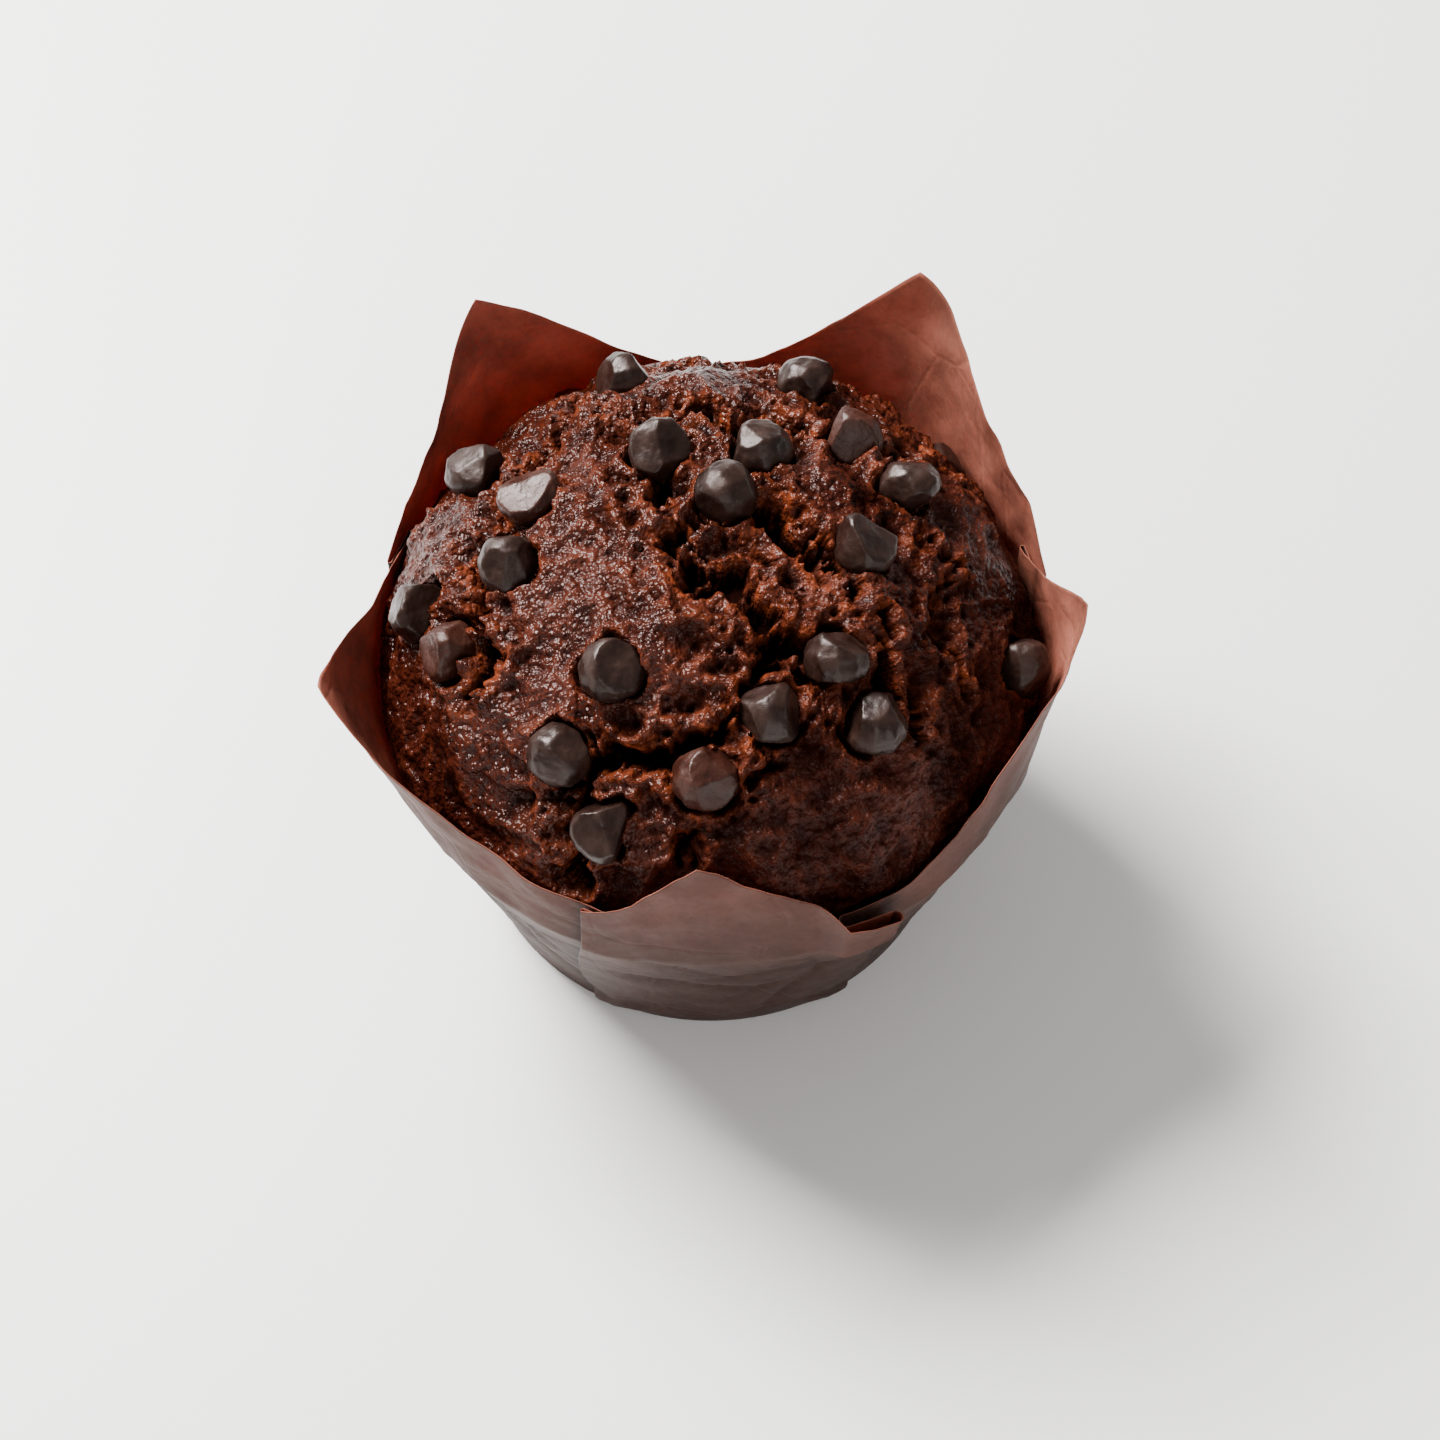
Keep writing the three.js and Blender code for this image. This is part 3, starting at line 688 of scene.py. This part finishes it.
swells = field(dome, 0.11, 5.0) * 1.5
lumps = 0.55 - np.abs(field(dome, 0.22, 3.0)) * 3.0
knobs = 0.2 - np.abs(field(dome, 0.7, 13.0)) * 0.9
_, scale_gap = cells(0.62, 2.0)
pebble_core, pebble_gap = cells(1.25, 8.0)
pore_core, _ = cells(0.4, 31.0)
scales = smooth(0.0, 0.35, scale_gap) * 0.15
pebbles = smooth(0.0, 0.3, pebble_gap) * 0.05 - pebble_core * 0.06
pores = -1.3 * (1 - smooth(0.12, 0.3, pore_core))
edge_calm = smooth(0.02, 0.2, up[:, 2])
crust = scales + pebbles + knobs * 0.35
crumb = lumps * 1.1 + knobs * 1.2 + pores * 0.8
height = plates + swells * edge_calm + lip * (1 - torn)
height += (lumps * 0.5 + crust) * (0.4 + 0.6 * edge_calm) * (1 - 0.5 * torn)
height += crumb * rugged * edge_calm
height -= fissure_cut
height *= np.where(up[:, 2] < 0.02, 0, 1)
surface = dome + dome_out * height[:, None]

# sockets: wherever a chip is in the way, the crust drops below it, and it stands off from the
# chip in a narrow crevice that is open in some places and closed in others
chips = sorted(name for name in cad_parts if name.startswith("chocolate_chip"))
SOCKET_REACH = 7.5
CREVICE_WIDTH = 1.15
CREVICE_DEPTH = 1.9
COLLAR = 0.55
COLLAR_WIDTH = 0.9
SOCKET_GAP = 0.25
PROBE = 9  # how far below and above the plain dome a chip is looked for
sunk = np.zeros(len(up))
collar = np.zeros(len(up))
openings = smooth(-0.3, 0.35, field(dome, 0.28, 41.0))
for name in chips:
    chip_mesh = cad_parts[name].data
    corners = [v.co / MM for v in chip_mesh.vertices]
    middle = np.array(corners).mean(0)
    chip_shape = BVHTree.FromPolygons(corners, [tuple(f.vertices) for f in chip_mesh.polygons])
    for i in np.where(np.linalg.norm(surface - middle, axis=1) < SOCKET_REACH)[0]:
        outward = Vector(dome_out[i])
        below = Vector(dome[i]) - outward * PROBE
        hit, _, _, distance = chip_shape.ray_cast(below, outward, 2 * PROBE)
        if hit is not None:
            sunk[i] = max(sunk[i], height[i] - (distance - PROBE - SOCKET_GAP))
            continue
        gap = chip_shape.find_nearest(Vector(surface[i]))[3]
        crevice = CREVICE_WIDTH * (0.15 + openings[i])
        drop = CREVICE_DEPTH * openings[i] * (1 - smooth(crevice * 0.5, crevice, gap))
        sunk[i] = max(sunk[i], drop)
        collar[i] = max(collar[i], math.exp(-(((gap - crevice) / COLLAR_WIDTH) ** 2)))
height += collar * COLLAR * edge_calm * (1 - 0.5 * openings) - sunk
surface = dome + dome_out * height[:, None]

# the paper holds the cake in
slopes = np.array([petal_slope(a) for a in range(360)])
azimuths = np.degrees(np.arctan2(surface[:, 1], surface[:, 0])) % 360
over_shoulder = surface[:, 2] - SHOULDER_HEIGHT
slope_here = np.interp(azimuths, np.arange(360), slopes, period=360)
limit = SHOULDER_RADIUS - PAPER_HOLD + slope_here * over_shoulder
reach = np.hypot(surface[:, 0], surface[:, 1])
held = np.where(over_shoulder < HELD_HEIGHT, np.minimum(1, limit / np.maximum(reach, 1e-6)), 1)
surface[:, :2] *= held[:, None]

# how far each spot lies below or above its surroundings, for the colour: painted shade in low spots,
# and a lighter, redder tone on raised ones
BLUR_ROUNDS = 8
sheet = height.reshape(CRUST_CELLS + 1, -1)
level = sheet.copy()
for _ in range(BLUR_ROUNDS):
    padded = np.pad(level, 1, mode="edge")
    level = (padded[:-2, 1:-1] + padded[2:, 1:-1] + padded[1:-1, :-2] + padded[1:-1, 2:] + level) / 5
proud = (sheet - level).reshape(-1)


WALL_HEIGHTS = (SHOULDER_HEIGHT - 3.0, 28.0, 14.0, 3.0, CAKE_FLOOR)
DRY_SIDE = np.array([0.78, -0.42, 0.05])
HOLLOW_SHADE_SPAN = 0.58
EDGE_SPAN = 0.4


def make_cake():
    """The crust's grid, with a plain wall and floor below it inside the case."""
    side = CRUST_CELLS + 1
    index = np.arange(side * side).reshape(side, side)
    quads = np.stack([index[:-1, :-1], index[:-1, 1:], index[1:, 1:], index[1:, :-1]], 2).reshape(-1, 4)
    edge = np.concatenate([index[0, :-1], index[:-1, -1], index[-1, :0:-1], index[:0:-1, 0]])
    spots = [surface]
    faces = [quads]
    ring = edge
    start = len(surface)
    rim = surface[edge]
    angles = np.arctan2(rim[:, 1], rim[:, 0])
    for z in WALL_HEIGHTS:
        radius = wall_radius(z) - (SHOULDER_RADIUS - CAKE_RADIUS) - WALL_SHRINK
        level_here = np.full(len(edge), z)
        spots.append(np.stack([radius * np.cos(angles), radius * np.sin(angles), level_here], 1))
        below = np.arange(start, start + len(edge))
        faces.append(np.stack([ring, below, np.roll(below, -1), np.roll(ring, -1)], 1))
        ring = below
        start += len(edge)
    mesh = bpy.data.meshes.new("chocolate_cake")
    floor_faces = [tuple(int(i) for i in ring[::-1])]
    all_faces = [tuple(int(i) for i in f) for f in np.concatenate(faces)] + floor_faces
    mesh.from_pydata([tuple(p) for p in np.concatenate(spots) * MM], [], all_faces)
    mesh.shade_smooth()
    piece = bpy.data.objects.new("chocolate_cake", mesh)
    bpy.context.collection.objects.link(piece)
    extra = start - len(surface)
    # Painted shade: darker in the fissures, in the crevices round the chips, and in low spots.
    hollow = smooth(1.0, 3.6, fissure_cut) * 0.85 + smooth(0.2, 1.6, sunk) * 0.6
    looks = (
        ("torn", np.maximum(torn, rugged * 0.35)),
        ("hollow", np.clip(-proud / HOLLOW_SHADE_SPAN + hollow, 0, 1)),
        ("edge", np.clip(proud / EDGE_SPAN, 0, 1)),
        ("dry", smooth(-0.05, 0.6, up @ DRY_SIDE)),
    )
    for label, values in looks:
        paint(piece, label, np.concatenate([values, np.zeros(extra)]))
    return piece


cake = make_cake()


def cake_finish():
    """Chocolate crust with sticky glints, redder and rougher where the crumb is torn open, with painted
    shade in its fissures, sockets and pits.
    """
    finish = bpy.data.materials.new("chocolate_crust")
    finish.use_nodes = True
    tree = finish.node_tree
    shader = tree.nodes["Principled BSDF"]
    patches = texture(tree, "ShaderNodeTexNoise", 90, 5).outputs["Fac"]
    specks = texture(tree, "ShaderNodeTexNoise", 480, 4).outputs["Fac"]
    grains = texture(tree, "ShaderNodeTexVoronoi", 900, 1).outputs["Distance"]
    grit = texture(tree, "ShaderNodeTexNoise", 2600, 3).outputs["Fac"]
    dry_here = painted(tree, "dry")
    pits = texture(tree, "ShaderNodeTexVoronoi", 620, 1).outputs["Distance"]
    pit_depth = ramp(tree, pits, [(0.12, WHITE), (0.34, BLACK)])
    crust_tone = ramp(tree, sums(tree, (patches, 0.6), (specks, 0.4)), [
        (0.36, (0.0085, 0.0013, 0.0007)), (0.5, (0.025, 0.0042, 0.002)),
        (0.64, (0.061, 0.0117, 0.0054))])
    crumb_tone = ramp(tree, specks, [
        (0.34, (0.018, 0.0033, 0.0016)), (0.52, (0.07, 0.0135, 0.0055)), (0.7, (0.2, 0.038, 0.0115))])
    edge_tone = ramp(tree, specks, [(0.3, (0.06, 0.012, 0.006)), (0.7, (0.19, 0.038, 0.013))])
    # near-black tone for the painted shade
    shade_tone = ramp(tree, specks, [(0.3, (0.0035, 0.0011, 0.0008)), (0.7, (0.011, 0.0029, 0.0018))])
    torn_here = painted(tree, "torn")
    hollow_here = painted(tree, "hollow")
    tone = mix(tree, crust_tone, crumb_tone, torn_here)
    tone = mix(tree, tone, edge_tone, sums(tree, (painted(tree, "edge"), 0.3)))
    # painted shade in the small pits and in the fissures, crevices and low spots
    painted_shade_here = sums(tree, (pit_depth, 0.45), (hollow_here, 1.0))
    tree.links.new(mix(tree, tone, shade_tone, painted_shade_here), shader.inputs["Base Color"])
    wet = ramp(tree, patches, [(0.38, (0.13, 0.13, 0.13)), (0.62, (0.29, 0.29, 0.29))])
    rough = sums(tree, (wet, 1.0), (hollow_here, 0.2), (dry_here, 0.14))
    tree.links.new(rough, shader.inputs["Roughness"])
    fade = sums(tree, (hollow_here, -0.24), (patches, 0.41), (dry_here, -0.1))
    tree.links.new(fade, shader.inputs["Specular IOR Level"])
    shader.inputs["Specular Tint"].default_value = (1.0, 0.84, 0.82, 1)
    relief = sums(tree, (grains, -1.0), (specks, 1.1), (grit, 0.06), (pit_depth, -0.6))
    emboss(tree, relief, 0.8, 0.6 * MM)
    return finish


cake.data.materials.append(cake_finish())
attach(cake, "root")
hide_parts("cake")

# ------------------------------------------------------------------ the chocolate chips
# Baking chips: drops of dark chocolate with a flat base, set in the batter before baking. They
# keep their shape but soften, so their edges are round, and some are smeared with batter.
CHIP_VOXEL = 0.3 * MM
SOFTENING = 3
FACETS = 4
FACET_CUT = (0.5, 1.3)
FACET_BITE = 0.92
CHIP_SWELL = 1.1  # makes up for what softening and the facets take away
SMEARED = {"chocolate_chip_06", "chocolate_chip_10", "chocolate_chip_13", "chocolate_chip_19"}


def chocolate(name, smear):
    """Dark chocolate with a soft sheen, a dusty bloom and, on some, a skin of batter."""
    finish = bpy.data.materials.new(name)
    finish.use_nodes = True
    tree = finish.node_tree
    shader = tree.nodes["Principled BSDF"]
    bloom = texture(tree, "ShaderNodeTexNoise", 380, 6).outputs["Fac"]
    dust = texture(tree, "ShaderNodeTexNoise", 2200, 3).outputs["Fac"]
    plain = ramp(tree, bloom, [(0.35, (0.0085, 0.0032, 0.0021)), (0.7, (0.023, 0.0098, 0.0068))])
    batter = ramp(tree, bloom, [(0.35, (0.018, 0.005, 0.003)), (0.7, (0.055, 0.014, 0.0075))])
    both = ramp(tree, bloom, [(0.4, (smear,) * 3), (0.6, (smear * 0.5,) * 3)])
    tree.links.new(mix(tree, plain, batter, both), shader.inputs["Base Color"])
    sheen = ramp(tree, bloom, [(0.35, (0.3, 0.3, 0.3)), (0.7, (0.52, 0.52, 0.52))])
    tree.links.new(sheen, shader.inputs["Roughness"])
    shader.inputs["Specular IOR Level"].default_value = 0.3
    shader.inputs["Specular Tint"].default_value = (1.0, 0.88, 0.85, 1)
    emboss(tree, sums(tree, (bloom, 1.0), (dust, 0.3)), 0.45 + 0.35 * smear, 0.3 * MM)
    return finish


plain_chip = chocolate("dark_chocolate", 0.0)
smeared_chip = chocolate("dark_chocolate_with_batter", 1.0)


def make_chip(name, number):
    """A chip in its place: its edges softened, dented, and flattened by a few facets."""
    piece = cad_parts[name].copy()
    piece.data = piece.data.copy()
    piece.name = name.replace("chocolate", "baked")
    bpy.context.collection.objects.link(piece)
    remesh = piece.modifiers.new("even", "REMESH")
    remesh.mode = "VOXEL"
    remesh.voxel_size = CHIP_VOXEL
    soften = piece.modifiers.new("soften", "SMOOTH")
    soften.iterations = SOFTENING
    bpy.context.view_layer.update()
    evaluated = piece.evaluated_get(bpy.context.evaluated_depsgraph_get())
    shaped = bpy.data.meshes.new_from_object(evaluated)
    piece.modifiers.clear()
    piece.data = shaped
    spots = np.array([v.co for v in shaped.vertices]) / MM
    middle = spots.mean(0)
    offset = (spots - middle) * CHIP_SWELL
    chance = np.random.default_rng(number)
    for _ in range(FACETS):
        facing = chance.normal(size=3)
        facing[2] = abs(facing[2])
        facing /= np.linalg.norm(facing)
        beyond = offset @ facing
        excess = np.maximum(0, beyond - (beyond.max() - chance.uniform(*FACET_CUT)))
        offset -= excess[:, None] * FACET_BITE * facing
    dents = field(offset, 0.45, number * 3.7) * 0.24
    dents += field(offset, 1.7, number * 1.9) * 0.07 - 0.05
    offset += dents[:, None] * offset / np.linalg.norm(offset, axis=1, keepdims=True)
    shaped.vertices.foreach_set("co", ((middle + offset) * MM).ravel())
    shaped.shade_smooth()
    shaped.materials.clear()
    shaped.materials.append(smeared_chip if name in SMEARED else plain_chip)
    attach(piece, "root")
    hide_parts(name)


for number, name in enumerate(chips, 1):
    make_chip(name, number)
